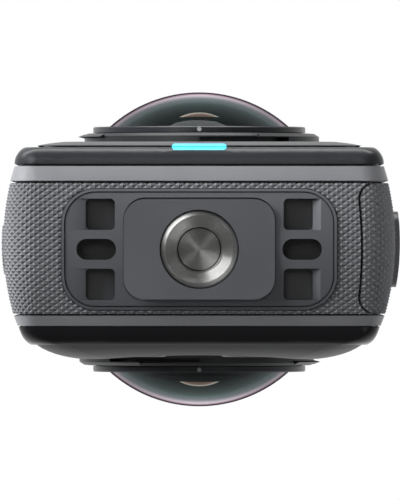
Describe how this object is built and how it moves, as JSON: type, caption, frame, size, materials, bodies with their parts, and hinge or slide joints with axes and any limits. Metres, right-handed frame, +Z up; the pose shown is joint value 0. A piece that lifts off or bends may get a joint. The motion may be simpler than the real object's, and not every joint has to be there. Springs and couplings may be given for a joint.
{
  "type": "360 degree camera",
  "caption": "Tall pocket camera with a domed lens on front and back near the top, a touchscreen, side battery door and quick-release tripod base.",
  "frame": {"origin": "centre of the base, at the tripod thread's axis, on the plane that the camera stands on", "axes": "+Z up the camera's height, -Y out of the front lens, +Y out of the screen side, +X towards the battery door"},
  "size_m": [0.0461, 0.0382, 0.1245],
  "materials": {
    "textured_grip": "diamond-textured satin rubber",
    "satin_trim": "satin, light grey band",
    "dark_cover": "satin gloss",
    "grey_panel": "fine matt",
    "black_gloss": "polished",
    "status_light": "lit cyan light bar",
    "frame_metal": "die-cast",
    "screen_glass": "black touchscreen glass",
    "black_part": "matt black",
    "button": "satin",
    "steel": "plain",
    "board": "green solder mask",
    "seal": "soft",
    "gold": "gold plated",
    "battery": "wrapped can",
    "spreader": "plain",
    "mount_plate": "fine bead blasted",
    "thread_steel": "turned",
    "lens_glass": "coated",
    "lens_ring": "black anodised",
    "lens_base": "satin black"
  },
  "bodies": {
    "camera_body": {"back_cover": "black_gloss", "back_frame_band": "satin_trim", "back_inner_lens": "lens_glass", "back_lens_barrel": "black_part", "back_lens_base": "lens_base", "back_lens_seal": "seal", "back_panel": "grey_panel", "back_rear_lens": "lens_glass", "back_sensor_board": "board", "back_switches": "steel", "battery_bay": "black_part", "battery_contacts": "gold", "battery_pack": "battery", "button_board": "board", "card_socket": "steel", "chassis_screws": "steel", "display_module": "black_part", "door_hinge_pin": "steel", "front_cover": "dark_cover", "front_frame_band": "satin_trim", "front_inner_lens": "lens_glass", "front_lens_barrel": "black_part", "front_lens_base": "lens_base", "front_lens_seal": "seal", "front_panel": "grey_panel", "front_rear_lens": "lens_glass", "front_sensor_board": "board", "grip_shell": "textured_grip", "heat_spreader": "spreader", "main_board": "board", "memory_card": "black_part", "microphones": "steel", "mid_frame": "frame_metal", "mount_chassis": "steel", "mount_magnets": "steel", "mount_plate": "mount_plate", "processor_shield": "steel", "side_switch_board": "board", "side_switches": "steel", "speaker": "black_part", "status_light": "status_light", "thread_insert": "thread_steel", "touchscreen_glass": "screen_glass", "usb_cover_pin": "steel", "usb_socket": "steel", "usb_tongue": "black_part"},
    "battery_door": {"battery_door": "textured_grip", "door_seal": "seal", "latch_spring": "steel"},
    "battery_latch": {"battery_latch": "satin_trim"},
    "usb_cover": {"usb_cover": "textured_grip", "usb_cover_seal": "seal"},
    "power_button": {"power_button": "textured_grip"},
    "quick_button": {"quick_button": "textured_grip"},
    "shutter_button": {"shutter_button": "button"},
    "mode_button": {"mode_button": "button"},
    "front_lens_ring": {"front_lens_ring": "lens_ring", "front_dome_lens": "lens_glass"},
    "back_lens_ring": {"back_lens_ring": "lens_ring", "back_dome_lens": "lens_glass"}
  },
  "joints": [
    {"name": "battery_door_hinge", "type": "hinge", "parent": "camera_body", "child": "battery_door", "pos_m": [0.02115, 0, 0.0706], "axis": [0, -1, 0], "range_deg": [0, 95]},
    {"name": "battery_latch_slide", "type": "slide", "parent": "battery_door", "child": "battery_latch", "axis": [0, 0, -1], "range_m": [0, 0.0026], "stiffness_N_per_m": 120, "deforming": ["latch_spring"]},
    {"name": "usb_cover_hinge", "type": "hinge", "parent": "camera_body", "child": "usb_cover", "pos_m": [-0.02125, 0, 0.0152], "axis": [0, -1, 0], "range_deg": [0, 95]},
    {"name": "power_button_press", "type": "slide", "parent": "camera_body", "child": "power_button", "axis": [1, 0, 0], "range_m": [0, 0.00035], "stiffness_N_per_m": 600},
    {"name": "quick_button_press", "type": "slide", "parent": "camera_body", "child": "quick_button", "axis": [1, 0, 0], "range_m": [0, 0.00035], "stiffness_N_per_m": 600},
    {"name": "shutter_button_press", "type": "slide", "parent": "camera_body", "child": "shutter_button", "axis": [0, -1, 0], "range_m": [0, 0.00035], "stiffness_N_per_m": 600},
    {"name": "mode_button_press", "type": "slide", "parent": "camera_body", "child": "mode_button", "axis": [0, -1, 0], "range_m": [0, 0.00035], "stiffness_N_per_m": 600},
    {"name": "front_lens_twist", "type": "hinge", "parent": "camera_body", "child": "front_lens_ring", "pos_m": [0, 0, 0.101], "axis": [0, -1, 0], "range_deg": [0, 45]},
    {"name": "back_lens_twist", "type": "hinge", "parent": "camera_body", "child": "back_lens_ring", "pos_m": [0, 0, 0.101], "axis": [0, 1, 0], "range_deg": [0, 45]}
  ]
}
